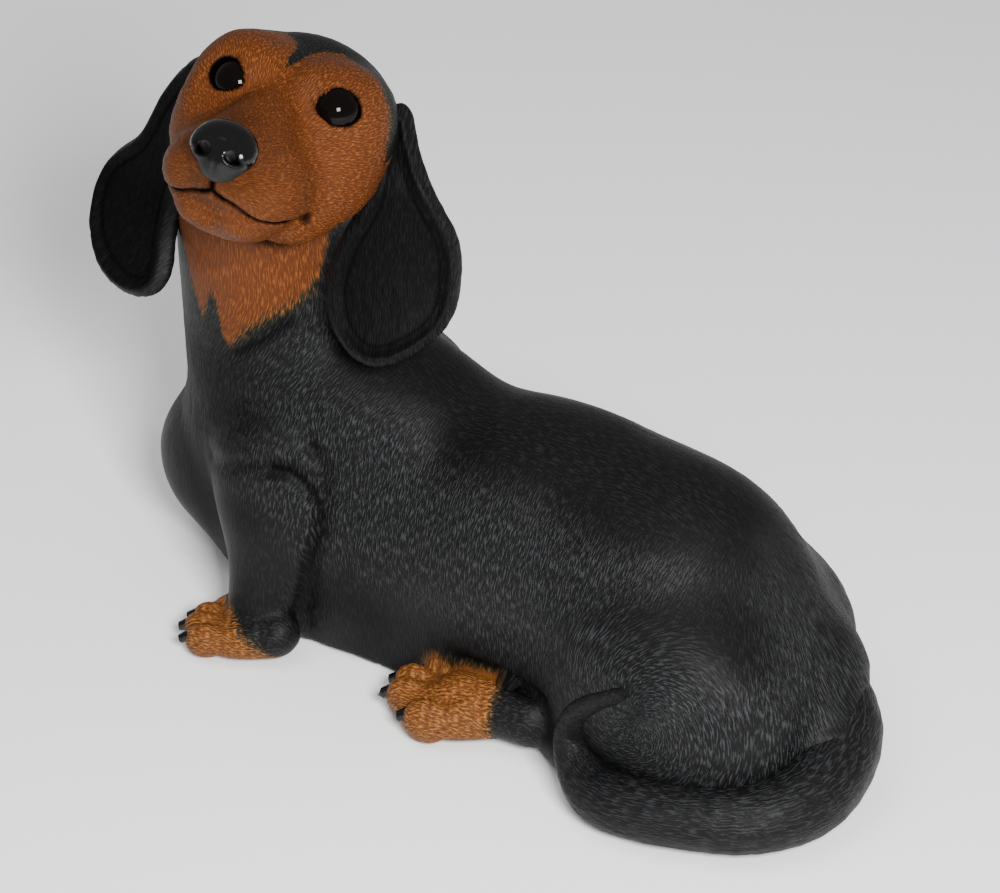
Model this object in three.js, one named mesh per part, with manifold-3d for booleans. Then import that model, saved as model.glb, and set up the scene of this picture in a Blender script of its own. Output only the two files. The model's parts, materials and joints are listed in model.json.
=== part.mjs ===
// Lying dachshund figurine in glazed ceramic: cast pieces luted together, glass eyes, felt pads.
// Millimetres. +X runs towards the rump, -Y is the dog's left side, +Z is up.
import * as THREE from 'three';
import { mergeVertices } from 'three/addons/utils/BufferGeometryUtils.js';
import Module from 'manifold-3d';

const wasm = await Module();
wasm.setup();
const { Manifold, Mesh: SolidMesh } = wasm;

// ---------------------------------------------------------------- driving dimensions
const GAP = 0.3;                 // clearance kept in every luted seam
const WALL = 6;                  // cast wall of the hollow trunk
const FELT = 1.5;                // thickness of the felt pads
const LIFT = FELT + GAP;         // height of the casting's flat underside
const PAD_RADIUS = 9;
const VENT_RADIUS = 11;          // firing vent in the base
const THROAT_RADIUS = 8;         // bore from the head hollow down into the trunk
const HEAD_CENTRE = [-86, -14, 196.5];
const HEAD_YAW = 107.6;          // turned from straight ahead (-X) towards the dog's left
const HEAD_PITCH = 16;           // nose lifted
const HEAD_TILT = 12;            // right side of the head held higher
const HEAD_HOLLOW_RADIUS = 19;
const EYE_RADIUS = 8.3;
const LEFT_EYE = [23, 19, 13.8]; // forward, left, up from the head centre
const RIGHT_EYE = [23, -16.5, 10.8];
const NOSE = [71, 0, 2.5];
const EAR_THICKNESS = 6.4;
const EAR_TOP_RADIUS = 10.5;
const EAR_LOBE_RADIUS = 22.5;
const TOES = {                   // [paw widths towards the outer toe, mm set back] of each toe
  front: [[-0.44, 7], [-0.21, 1], [0.02, 0], [0.28, 2.5]],
  hind: [[-0.44, 8], [-0.2, 0], [0.04, 0.5], [0.34, 11]],
};

const GLAZE_BLACK = { color: 0x1e1f20, roughness: 0.45, metalness: 0 };
const GLAZE_TAN = { color: 0x8a5128, roughness: 0.5, metalness: 0 };
const GLOSS_BLACK = { color: 0x0b0b0c, roughness: 0.12, metalness: 0 };
const GLASS_BLACK = { color: 0x050506, roughness: 0.04, metalness: 0 };
const FELT_GREEN = { color: 0x2b3a2e, roughness: 0.95, metalness: 0 };

// ---------------------------------------------------------------- soft shapes as distances
const vec = (x, y, z) => new THREE.Vector3(x, y, z);
const from = (a) => new THREE.Vector3(...a);
const clamp01 = (x) => Math.min(1, Math.max(0, x));

// Distance to an egg with three half-axes, optionally turned by `turn` (a quaternion).
function egg(centre, half, turn) {
  const inverse = turn ? turn.clone().invert() : null;
  const q = vec(0, 0, 0);
  return (p) => {
    q.set(p.x - centre[0], p.y - centre[1], p.z - centre[2]);
    if (inverse) q.applyQuaternion(inverse);
    const k0 = Math.hypot(q.x / half[0], q.y / half[1], q.z / half[2]);
    const k1 = Math.hypot(q.x / half[0] ** 2, q.y / half[1] ** 2, q.z / half[2] ** 2);
    return (k0 * (k0 - 1)) / Math.max(k1, 1e-9);
  };
}

// Distance to a limb: a round bar that tapers from radius ra at a to rb at b.
function limb(a, b, ra, rb) {
  const start = from(a);
  const run = from(b).sub(start);
  const q = vec(0, 0, 0);
  return (p) => {
    q.copy(p).sub(start);
    const h = clamp01(q.dot(run) / run.lengthSq());
    return q.addScaledVector(run, -h).length() - (ra + (rb - ra) * h);
  };
}

// Two masses pressed together, the joint smoothed over a width k like wet clay.
function press(a, b, k) {
  const h = clamp01(0.5 + (0.5 * (b - a)) / k);
  return b + (a - b) * h - k * h * (1 - h);
}

// A body modelled from a list of [mass, smoothing width].
function clay(masses) {
  return (p) => masses.reduce((d, [mass, k]) => (d === null ? mass(p) : press(d, mass(p), k)), null);
}

const turnZY = (yaw, pitch) =>
  new THREE.Quaternion().setFromEuler(
    new THREE.Euler(0, THREE.MathUtils.degToRad(pitch), THREE.MathUtils.degToRad(yaw), 'ZYX'));
const turnX = (roll) =>
  new THREE.Quaternion().setFromAxisAngle(vec(1, 0, 0), THREE.MathUtils.degToRad(roll));

// ---------------------------------------------------------------- trunk
const SLUMP_HEIGHT = 42;         // below this the flanks drop almost straight to the table
const SLUMP = 0.3;
const CHEST_SLUMP = 0.85;        // the breast keeps more of its roundness
const softStep = (x, low, high) => {
  const t = clamp01((x - low) / (high - low));
  return t * t * (3 - 2 * t);
};
const trunkMasses = clay([
  [egg([-62, 0, 50], [70, 45, 51]), 0],       // ribcage
  [egg([16, 0, 51], [88, 46, 52]), 14],       // barrel of the body
  [egg([66, -4, 49], [48, 47, 48]), 16],      // loins
  [egg([91, -8, 36], [36, 42, 37]), 14],      // rump
  [egg([-122, -1, 40], [36, 32, 30]), 8],     // breast
  [limb([-101, -2, 76], [-106, -8, 152], 38, 32), 22], // neck
  [egg([-64, -4, 88], [38, 30, 24]), 18],     // withers
]);
const legMasses = [
  [egg([-80, -37, 56], [28, 18.5, 34], turnZY(0, -12)), 7],         // left shoulder
  [limb([-80, -41, 46], [-82, -46, 12], 16, 14), 10],               // left upper foreleg
  [egg([-78, 36, 58], [30, 17, 36], turnZY(0, -12)), 10],           // right shoulder
  [limb([-80, 41, 46], [-84, 45, 12], 16, 14), 10],                 // right upper foreleg
  [egg([86, -36, 33], [44, 28, 38], turnX(8)), 16],                 // left haunch
  [egg([80, 31, 28], [36, 20, 31], turnX(-8)), 14],                 // right haunch
  [limb([48, -46, 7], [70, -57, 7], 8, 9.5), 6],                    // left hock
];
function trunk(p) {
  const slump = SLUMP + (CHEST_SLUMP - SLUMP) * softStep(-p.x, 96, 136);
  const slumped = vec(p.x, p.y, p.z < SLUMP_HEIGHT ? SLUMP_HEIGHT - (SLUMP_HEIGHT - p.z) * slump : p.z);
  let d = trunkMasses(slumped);
  for (const [mass, k] of legMasses) d = press(d, mass(p), k);
  return d;
}

// ---------------------------------------------------------------- head, in its own axes
const headForward = vec(
  -Math.cos(THREE.MathUtils.degToRad(HEAD_YAW)) * Math.cos(THREE.MathUtils.degToRad(HEAD_PITCH)),
  -Math.sin(THREE.MathUtils.degToRad(HEAD_YAW)) * Math.cos(THREE.MathUtils.degToRad(HEAD_PITCH)),
  Math.sin(THREE.MathUtils.degToRad(HEAD_PITCH)));
const headLeft = vec(0, 0, 1).cross(headForward).normalize();
headLeft.applyAxisAngle(headForward, THREE.MathUtils.degToRad(-HEAD_TILT));
const headUp = headForward.clone().cross(headLeft);
const headFrame = new THREE.Matrix4().makeBasis(headForward, headLeft, headUp).setPosition(...HEAD_CENTRE);
const onHead = (a) => from(a).applyMatrix4(headFrame);

const skullMass = clay([
  [egg([-8, -1, -5], [36, 35, 31]), 0],        // skull
  [egg([42, 0, -8], [33, 20, 16]), 9],         // muzzle
  [limb([22, 0, 5], [64, 0, 1], 12, 9.5), 8],  // bridge of the muzzle
  [limb([4, 0, -24], [54, 0, -22.5], 17, 9), 7], // lower jaw
]);
const pairedMass = [
  [egg([15, 18, -8], [24, 19, 21]), 9],        // cheeks
  [egg([8, 20, 8], [20, 15, 16]), 10],         // temples
  [egg([15, 13, 17], [12, 12, 8]), 9],         // brows
  [egg([48, 13, -12], [21, 12, 12]), 6],       // lips
  [egg([44, 8, -23], [22, 10, 8.5]), 5],       // sides of the chin
  [egg([24, 16, -25], [18, 11, 10]), 6],       // corners of the jaw
];
function head(p) {
  const mirrored = vec(p.x, Math.abs(p.y), p.z);
  let d = skullMass(p);
  for (const [mass, k] of pairedMass) d = press(d, mass(mirrored), k);
  return d;
}
const noseButton = clay([
  [egg([NOSE[0], 0, NOSE[2] + 2], [8, 10.8, 8]), 0],
  [egg([NOSE[0] + 0.3, 0, NOSE[2] - 4.5], [7.6, 7.4, 6.5]), 4],
  [egg([NOSE[0] + 2.5, 6.4, NOSE[2] + 0.5], [5.5, 4.8, 4.4]), 2.5], // wings of the nostrils
  [egg([NOSE[0] + 2.5, -6.4, NOSE[2] + 0.5], [5.5, 4.8, 4.4]), 2.5],
]);

// ---------------------------------------------------------------- tail and paws
const TAIL_LINE = [
  [114, 6, 30], [132, -6, 18], [137, -28, 13], [127, -50, 12], [106, -61, 11], [86, -66, 11], [74, -66.5, 12],
  [65, -64.5, 17], [60.5, -61.5, 25], [62.5, -60.5, 34], [71, -61.5, 43.5], [82, -62.5, 52],
];
const TAIL_RADII = [18, 15, 13, 12, 11, 10, 8.5, 6.4, 5.2, 4.6, 3.8, 2.4];
const tailCurve = new THREE.CatmullRomCurve3(TAIL_LINE.map(from), false, 'catmullrom', 0.5);

function tailRadius(t) {
  const at = t * (TAIL_RADII.length - 1);
  const i = Math.min(Math.floor(at), TAIL_RADII.length - 2);
  return TAIL_RADII[i] + (TAIL_RADII[i + 1] - TAIL_RADII[i]) * (at - i);
}

const PAWS = {
  left_front: { heel: [-71, -54], toe: [-103, -66], width: 27, height: 17, scale: 0.9, toes: TOES.front },
  right_front: { heel: [-75, 46], toe: [-107, 56], width: 27, height: 17, scale: 0.9, toes: TOES.front },
  left_hind: { heel: [34, -46], toe: [-18, -58], width: 33, height: 21, scale: 1.05, toes: TOES.hind },
  right_hind: { heel: [42, 48], toe: [-10, 61], width: 33, height: 21, scale: 1.05, toes: TOES.hind },
};

// Lengthways, sideways and up axes of a paw, with its heel on the table at the origin.
function pawFrame({ heel, toe }) {
  const forward = vec(toe[0] - heel[0], toe[1] - heel[1], 0).normalize();
  const across = vec(0, 0, 1).cross(forward);
  return new THREE.Matrix4().makeBasis(forward, across, vec(0, 0, 1)).setPosition(heel[0], heel[1], 0);
}
const pawLength = ({ heel, toe }) => Math.hypot(toe[0] - heel[0], toe[1] - heel[1]);

const outerSide = ({ heel }) => (heel[1] < 0 ? 1 : -1);

function pawMass(paw) {
  const { width: w, height: h, scale: s } = paw;
  const length = pawLength(paw);
  const outer = outerSide(paw);
  const toes = paw.toes.flatMap(([share, back]) => {
    const across = outer * share * w;
    const tip = [length - 7 * s - back, across, h * 0.37];
    return [
      [limb([length - 30 * s, across * 0.6, h * 0.62], tip, w * 0.15, w * 0.15), 1.2],
      [egg(tip, [8 * s, w * 0.16, h * 0.42]), 1.2],
    ];
  });
  return clay([
    [egg([length - 21 * s, 0, h * 0.32], [19 * s, w * 0.42, h * 0.42]), 0],
    [limb([0, 0, h * 0.55], [length - 26 * s, -0.04 * w * outer, h * 0.56], h * 0.5, h * 0.44), 6],
    ...toes,
  ]);
}

// ---------------------------------------------------------------- skins and solids
// Every point of a capsule is shot outwards from the spine until it meets the clay surface.
// `hint` is the sideways direction and `stretch` fans the shots out across a flat leaf.
function skin(spine, mass, { around, along, caps, depth = 0, hint = [0, 1, 0], stretch = 1 }) {
  const capsule = new THREE.CapsuleGeometry(1, 1, caps, around, along);
  const points = capsule.attributes.position;
  const probe = vec(0, 0, 0);
  for (let i = 0; i < points.count; i += 1) {
    const t = clamp01(points.getY(i) + 0.5);
    const beyond = points.getY(i) + 0.5 - t;
    const axis = spine.getTangent(t);
    const across = from(hint).addScaledVector(axis, -axis.dot(from(hint))).normalize();
    const over = across.clone().cross(axis);
    const shot = axis.clone().multiplyScalar(beyond);
    shot.addScaledVector(across, points.getX(i) * stretch).addScaledVector(over, points.getZ(i));
    shot.normalize();
    const origin = spine.getPoint(t);
    let reach = 0;
    for (let step = 0; step < 90; step += 1) {
      const gap = -(mass(probe.copy(origin).addScaledVector(shot, reach)) + depth);
      reach += gap * 0.75;
      if (Math.abs(gap) < 0.004) break;
    }
    points.setXYZ(i, ...origin.addScaledVector(shot, Math.max(reach, 0.2)).toArray());
  }
  return capsule;
}

function solid(geometry, matrix) {
  const shape = geometry.clone();
  if (matrix) shape.applyMatrix4(matrix);
  for (const name of Object.keys(shape.attributes)) {
    if (name !== 'position') shape.deleteAttribute(name);
  }
  const joined = mergeVertices(shape, 1e-4);
  const body = new Manifold(new SolidMesh({
    numProp: 3,
    vertProperties: Float32Array.from(joined.attributes.position.array),
    triVerts: Uint32Array.from(joined.index.array),
  }));
  return body;
}

// The one main lump of a cut, without loose crumbs.
function mainLump(body) {
  return body.decompose().reduce((best, lump) => (lump.volume() > best.volume() ? lump : best));
}

const straight = (a, b) => new THREE.LineCurve3(from(a), from(b));

function bar(a, b, radius, segments = 24) {
  const run = b.clone().sub(a);
  const turn = new THREE.Quaternion().setFromUnitVectors(vec(0, 1, 0), run.clone().normalize());
  const middle = a.clone().lerp(b, 0.5);
  const rod = new THREE.CylinderGeometry(radius, radius, run.length(), segments);
  return solid(rod, new THREE.Matrix4().compose(middle, turn, vec(1, 1, 1)));
}

function ball(centre, radius, around = 16, down = 10) {
  return solid(new THREE.SphereGeometry(radius, around, down), new THREE.Matrix4().setPosition(centre));
}

const TABLE = solid(new THREE.BoxGeometry(600, 600, 100), new THREE.Matrix4().setPosition(0, 0, -50));
const pieces = [];

function keep(name, body, finish) {
  const cut = body.getMesh();
  const geometry = new THREE.BufferGeometry();
  geometry.setAttribute('position', new THREE.BufferAttribute(Float32Array.from(cut.vertProperties), 3));
  geometry.setIndex(Array.from(cut.triVerts));
  geometry.computeVertexNormals();
  const mesh = new THREE.Mesh(geometry, new THREE.MeshStandardMaterial(finish));
  mesh.name = name;
  pieces.push(mesh);
}

// ---------------------------------------------------------------- trunk casting
// One skin along a spine that runs from the rump to the shoulders and up the neck.
const curve = (points) => new THREE.CatmullRomCurve3(points.map(from));
const bodySpine = curve([
  [94, -8, 36], [60, -4, 46], [10, 0, 48], [-48, 0, 50], [-90, -1, 70], [-104, -5, 112], [-106, -8, 150]]);
const hollowSpine = curve([[86, -8, 38], [40, -2, 46], [0, 0, 48], [-40, 0, 50], [-80, 0, 56]]);
const trunkSolid = (depth) => solid(skin(bodySpine, trunk, { around: 34, along: 30, caps: 5, depth }));
const trunkSkin = trunkSolid(0);
const trunkSeat = trunkSolid(-GAP);
const hollow = solid(skin(hollowSpine, trunk, { around: 16, along: 10, caps: 3, depth: WALL }));
const hollowFloor = TABLE.translate([0, 0, WALL]);

const headSpine = straight([-8, 0, -5], [56, 0, -6]);
const headSolid = (depth) =>
  solid(skin(headSpine, head, { around: 28, along: 12, caps: 6, depth }), headFrame);
const headSeat = headSolid(-GAP);
const hollowCentre = onHead([-8, 0, -8]);
const throat = bar(hollowCentre, vec(-84, 0, 62), THROAT_RADIUS, 16);
const ventHole = bar(vec(0, 0, -10), vec(0, 0, 30), VENT_RADIUS);

keep('body_casting', mainLump(trunkSkin
  .subtract(TABLE)
  .subtract(headSeat)
  .subtract(hollow.subtract(hollowFloor))
  .subtract(throat)
  .subtract(ventHole)), GLAZE_BLACK);

// ---------------------------------------------------------------- head casting, eyes and nose
// Sockets for the glass eyes, a seat for the nose and a hollow that opens into the neck.
const leftEye = onHead(LEFT_EYE);
const rightEye = onHead(RIGHT_EYE);
const noseSpine = straight([NOSE[0], -1.5, NOSE[2]], [NOSE[0], 1.5, NOSE[2]]);
const noseSolid = (depth) => solid(
  skin(noseSpine, noseButton, { around: 16, along: 1, caps: 4, depth, hint: [1, 0, 0] }), headFrame);
keep('head_casting', mainLump(headSolid(0)
  .subtract(ball(leftEye, EYE_RADIUS + GAP))
  .subtract(ball(rightEye, EYE_RADIUS + GAP))
  .subtract(noseSolid(-GAP))
  .subtract(ball(hollowCentre, HEAD_HOLLOW_RADIUS))
  .subtract(throat)), GLAZE_TAN);
keep('left_eye', ball(leftEye, EYE_RADIUS), GLASS_BLACK);
keep('right_eye', ball(rightEye, EYE_RADIUS), GLASS_BLACK);
keep('nose', noseSolid(0), GLOSS_BLACK);

// ---------------------------------------------------------------- ears
// A teardrop leaf of rolled clay, cupped across its width and hung from the side of the head.
const EAR_CUP = 0.008;           // sideways cupping, mm per mm squared
const EAR_SWEEP = 0.004;         // lengthways sweep of the lobe, mm per mm squared
function ear(top, lobe, facing, hang) {
  const sweep = (bend) => (bend > 0 ? EAR_SWEEP : hang) * bend ** 2;
  const start = from(top);
  const run = from(lobe).sub(start);
  const length = run.length();
  const down = run.clone().normalize();
  const out = from(facing).addScaledVector(down, -from(facing).dot(down)).normalize();
  const across = down.clone().cross(out);
  const half = EAR_THICKNESS / 2;
  const q = vec(0, 0, 0);
  const leaf = (p) => {
    q.copy(p).sub(start);
    const a = q.dot(down);
    const b = q.dot(across);
    const c = q.dot(out) + EAR_CUP * b * b - sweep(a - length / 2);
    const h = clamp01(a / length);
    const rim = Math.hypot(a - h * length, b) - (EAR_TOP_RADIUS + (EAR_LOBE_RADIUS - EAR_TOP_RADIUS) * h);
    const inset = rim + half;
    return inset > 0 ? Math.hypot(inset, c) - half : Math.abs(c) - half;
  };
  const middle = [0, 0.25, 0.5, 0.75, 1].map((t) => start.clone().addScaledVector(run, t)
    .addScaledVector(out, sweep(t * length - length / 2)));
  const spine = new THREE.CatmullRomCurve3(middle);
  return solid(skin(spine, leaf, { around: 16, along: 8, caps: 5, hint: across.toArray(), stretch: 7 }));
}
const hungOn = headSeat.add(trunkSeat);
const leftEar = ear([-48, -6, 197], [-44, -17, 140], [0.45, -0.88, 0.1], -0.0025);
const rightEar = ear([-118, -22, 203], [-145, -33, 139], [-0.3, -0.95, 0.1], 0.002);
keep('left_ear', mainLump(leftEar.subtract(hungOn)), GLAZE_BLACK);
keep('right_ear', mainLump(rightEar.subtract(hungOn)), GLAZE_BLACK);

// ---------------------------------------------------------------- paws and claws
const pawSeats = {};
for (const [corner, paw] of Object.entries(PAWS)) {
  const frame = pawFrame(paw);
  const { width, height, scale } = paw;
  const length = pawLength(paw);
  const spine = straight([height * 0.4, 0, height * 0.5], [length - 16 * scale, 0, height * 0.45]);
  const pawSolid = (depth) =>
    solid(skin(spine, pawMass(paw), { around: 16, along: 6, caps: 5, depth }), frame);
  pawSeats[corner] = pawSolid(-GAP);
  keep(`${corner}_paw`, mainLump(pawSolid(0).subtract(trunkSeat).subtract(TABLE)), GLAZE_TAN);
  paw.toes.forEach(([share, back], i) => {
    const reach = length - back;
    const across = outerSide(paw) * share * width;
    const root = [reach - 3.5 * scale, across, height * 0.54];
    const tip = [reach + 2.8 * scale, across * 1.06, height * 0.34];
    const claw = skin(straight(root, tip), limb(root, tip, 2.7 * scale, 2 * scale),
      { around: 6, along: 1, caps: 2 });
    const clawSolid = solid(claw, frame).subtract(pawSeats[corner]).subtract(trunkSeat).subtract(TABLE);
    keep(`${corner}_claw_${i + 1}`, mainLump(clawSolid), GLOSS_BLACK);
  });
}

// ---------------------------------------------------------------- tail
// A tapering coil laid round the left haunch, its underside flat on the table.
const COIL_STEPS = 27;
const tailMass = clay(Array.from({ length: COIL_STEPS }, (_, i) => [
  limb(
    tailCurve.getPoint(i / COIL_STEPS).toArray(),
    tailCurve.getPoint((i + 1) / COIL_STEPS).toArray(),
    tailRadius(i / COIL_STEPS),
    tailRadius((i + 1) / COIL_STEPS)),
  0.5,
]));
const coil = solid(skin(tailCurve, tailMass, { around: 12, along: 28, caps: 3, hint: [0, 0, 1] }));
keep('tail', mainLump(coil.subtract(trunkSeat).subtract(pawSeats.left_hind).subtract(TABLE)), GLAZE_BLACK);

// ---------------------------------------------------------------- felt pads under the flat base
const PADS = { front_left: [-76, -20], front_right: [-76, 20], rear_left: [72, -26], rear_right: [72, 24] };
for (const [corner, [x, y]] of Object.entries(PADS)) {
  const disc = bar(vec(x, y, -LIFT), vec(x, y, -LIFT + FELT), PAD_RADIUS);
  keep(`${corner}_pad`, disc, FELT_GREEN);
}

// ---------------------------------------------------------------- assembly
// The origin goes to the middle of the footprint, level with the underside of the pads.
const figurine = new THREE.Group();
figurine.name = 'lying_dachshund';
figurine.add(...pieces);
const box = new THREE.Box3().setFromObject(figurine);
const middle = box.getCenter(vec(0, 0, 0));
for (const piece of pieces) piece.geometry.translate(-middle.x, -middle.y, -box.min.z);

export default figurine;
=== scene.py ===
# %% [markdown]
# # A lying dachshund in glazed ceramic
# The real thing is a hollow clay dog, press-moulded or slip-cast in a few parts, luted together, combed
# with a tool while leather hard so that the coat shows as short strokes, fired, and finished in black and
# tan. This lesson rebuilds it over a fixed frame of plain solids. The frame says where each part sits; here
# the parts get their real skin. Work is in millimetres in the potter's own axes, with x towards the tail,
# y towards the far side and z up, and is turned to metres at the end.

# %% Load the frame
import json
import math
import bmesh
import bpy
import numpy as np
from mathutils import Matrix, Vector

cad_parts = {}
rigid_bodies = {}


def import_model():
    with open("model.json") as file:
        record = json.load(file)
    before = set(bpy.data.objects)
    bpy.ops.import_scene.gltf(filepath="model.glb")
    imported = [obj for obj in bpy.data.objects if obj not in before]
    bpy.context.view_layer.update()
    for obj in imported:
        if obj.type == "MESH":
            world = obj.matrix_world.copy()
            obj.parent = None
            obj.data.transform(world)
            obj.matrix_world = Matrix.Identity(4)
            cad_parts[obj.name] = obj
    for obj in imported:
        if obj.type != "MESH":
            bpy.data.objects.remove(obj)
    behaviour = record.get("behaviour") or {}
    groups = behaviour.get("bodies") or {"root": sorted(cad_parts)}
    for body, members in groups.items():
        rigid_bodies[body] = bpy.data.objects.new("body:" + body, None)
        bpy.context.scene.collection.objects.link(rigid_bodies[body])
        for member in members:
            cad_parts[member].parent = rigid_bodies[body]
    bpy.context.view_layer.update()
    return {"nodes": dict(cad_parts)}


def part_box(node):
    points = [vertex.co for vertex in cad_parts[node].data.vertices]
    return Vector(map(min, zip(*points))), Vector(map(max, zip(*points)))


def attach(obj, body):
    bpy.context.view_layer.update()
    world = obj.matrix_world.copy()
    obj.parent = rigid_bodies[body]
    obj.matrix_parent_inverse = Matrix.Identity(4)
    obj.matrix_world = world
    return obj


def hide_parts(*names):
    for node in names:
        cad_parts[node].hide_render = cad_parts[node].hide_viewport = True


for spare in list(bpy.data.objects):
    bpy.data.objects.remove(spare)
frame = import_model()

# %% [markdown]
# ## The head's own axes
# The head is turned about 108 degrees to the dog's left, lifted, and tipped. Everything on the face is easier
# to place in forward, left and up from the middle of the skull, so those three directions are made first.
# One felt pad is known in both systems, which gives the shift from the potter's axes to the frame.

# %% Head axes and the shift to the frame
HEAD_CENTRE = np.array([-86.0, -14.0, 196.5])
HEAD_YAW, HEAD_PITCH, HEAD_TILT = np.radians([107.6, 16.0, 12.0])
EYE_RADIUS = 8.3
EYES = {"left_eye": np.array([23.0, 19.0, 13.8]), "right_eye": np.array([23.0, -16.5, 10.8])}
NOSE = np.array([71.0, 0.0, 2.5])
FRONT_LEFT_PAD = np.array([-76.0, -20.0, -1.05])

forward = np.array([-math.cos(HEAD_YAW) * math.cos(HEAD_PITCH),
                    -math.sin(HEAD_YAW) * math.cos(HEAD_PITCH), math.sin(HEAD_PITCH)])
level_left = np.cross([0, 0, 1], forward)
level_left /= np.linalg.norm(level_left)
level_up = np.cross(forward, level_left)
left = level_left * math.cos(HEAD_TILT) - level_up * math.sin(HEAD_TILT)
HEAD_AXES = np.stack([forward, left, np.cross(forward, left)])


def on_head(q):
    """A place on the head, given forward, left and up, in the potter's axes."""
    return HEAD_CENTRE + np.asarray(q, float) @ HEAD_AXES


def to_head(p):
    """Potter's axes to forward, left and up from the middle of the skull."""
    return (p - HEAD_CENTRE) @ HEAD_AXES.T


pad_low, pad_high = (np.array(corner) * 1000 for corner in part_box("front_left_pad"))
SHIFT = (pad_low + pad_high) / 2 - FRONT_LEFT_PAD
print("shift to the frame, mm:", SHIFT.round(2))

# %% [markdown]
# ## Soft masses
# A clay animal starts as eggs and tapering rolls pressed together. Each mass here is an egg (centre, three
# half-axes, a turn) or a roll (two ends, two radii), with a smoothing width for its joint. The same list is
# used twice: to block the animal in with plain spheres and cones, and to measure how far any point is from
# the finished clay surface, so that the rough block can be smoothed onto it.

# %% Distances to an egg, a roll and a smoothed joint
def turned(yaw=0, pitch=0, roll=0):
    """A turn about Z, then Y, then X, in degrees, as a 3x3 array whose columns are the turned axes."""
    spin = (Matrix.Rotation(math.radians(yaw), 3, "Z") @ Matrix.Rotation(math.radians(pitch), 3, "Y")
            @ Matrix.Rotation(math.radians(roll), 3, "X"))
    return np.array(spin)


def lengths(rows):
    return np.linalg.norm(rows, axis=1)


def egg(p, centre, half, turn=None):
    q = p - np.asarray(centre, float)
    if turn is not None:
        q = q @ turn
    half = np.asarray(half, float)
    k0 = lengths(q / half)
    k1 = lengths(q / half ** 2)
    return k0 * (k0 - 1) / np.maximum(k1, 1e-9)


def roll(p, a, b, ra, rb):
    a = np.asarray(a, float)
    run = np.asarray(b, float) - a
    h = np.clip((p - a) @ run / (run @ run), 0, 1)
    return lengths(p - a - h[:, None] * run) - (ra + (rb - ra) * h)


def press(a, b, k):
    """Joins two masses with a smoothing width of k millimetres."""
    h = np.clip(0.5 + 0.5 * (b - a) / k, 0, 1)
    return b + (a - b) * h - k * h * (1 - h)


def carve(a, b, k):
    """Cuts mass b out of mass a, with an edge rounded over k millimetres."""
    return -press(-a, b, k)


def modelled(p, masses, d=None):
    """Distance from p to a list of (kind, sizes, smoothing) masses, added to d if it is given."""
    for kind, sizes, k in masses:
        here = kind(p, *sizes)
        d = here if d is None else press(d, here, k)
    return d


def smooth_step(x, low, high):
    t = np.clip((x - low) / (high - low), 0, 1)
    return t * t * (3 - 2 * t)


def onto(surface, p, rounds=4, reach=4.0):
    """Slides points onto a surface, each along the surface's own slope."""
    p = np.array(p, float)
    step = 0.25
    corners = np.array([(1, 1, 1), (1, -1, -1), (-1, 1, -1), (-1, -1, 1)]) * step
    for _ in range(rounds):
        near = [surface(p + c) for c in corners]
        slope = sum(d[:, None] * c for d, c in zip(near, corners)) / (4 * step ** 2)
        size = np.maximum((slope ** 2).sum(1), 0.09)
        move = -(np.mean(near, axis=0) / size)[:, None] * slope
        length = lengths(move)
        p += move * np.minimum(1, reach / np.maximum(length, 1e-9))[:, None]
    return p

# %% [markdown]
# ## The trunk, legs, paws and head as masses
# Below a height of 42 mm the flanks of a dog lying on its belly drop almost straight to the table. Measuring
# the lower part of the trunk with its height squeezed to 0.3 gives that slump without extra masses. The
# breast is held up by the forelegs and slumps less, to 0.85.

# %% Mass lists
SLUMP_HEIGHT, SLUMP, CHEST_SLUMP = 42.0, 0.3, 0.85
TRUNK = [
    (egg, ((-62, 0, 50), (70, 45, 51)), 0),
    (egg, ((16, 0, 51), (88, 46, 52)), 14),
    (egg, ((66, -4, 49), (48, 47, 48)), 16),
    (egg, ((91, -8, 36), (36, 42, 37)), 14),
    (egg, ((-122, -1, 40), (36, 32, 30)), 8),
    (roll, ((-101, -2, 76), (-106, -8, 152), 38, 32), 22),
    (egg, ((-64, -4, 88), (38, 30, 24)), 18),
]
LEGS = [
    (egg, ((-80, -37, 56), (28, 18.5, 34), turned(0, -12)), 7),
    (roll, ((-80, -41, 46), (-82, -46, 12), 16, 14), 10),
    (egg, ((-78, 35, 56), (30, 17, 36), turned(0, -12)), 20),
    (roll, ((-80, 41, 46), (-84, 45, 12), 16, 14), 10),
    (egg, ((86, -36, 33), (44, 28, 38), turned(0, 0, 8)), 16),
    (egg, ((80, 31, 28), (36, 20, 31), turned(0, 0, -8)), 14),
    (roll, ((116, 5, 33), (134, -12, 21), 20, 14.5), 12),
    (roll, ((48, -46, 7), (70, -57, 7), 8, 9.5), 6),
]
SKULL = [
    (egg, ((-8, -1, -5), (36, 35, 31)), 0),
    (egg, ((42, 0, -8), (33, 20, 16)), 9),
    (roll, ((22, 0, 5), (64, 0, 1), 12, 9.5), 8),
    (roll, ((4, 0, -24), (54, 0, -22.5), 17, 9), 7),
]
FACE_PAIRS = [
    (egg, ((15, 18, -8), (24, 19, 21)), 9),
    (egg, ((8, 20, 8), (20, 15, 16)), 10),
    (egg, ((15, 13, 17), (12, 12, 8)), 9),
    (egg, ((48, 13, -12), (21, 12, 12)), 6),
    (egg, ((44, 8, -23), (22, 10, 8.5)), 5),
    (egg, ((24, 16, -25), (18, 11, 10)), 6),
]
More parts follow.
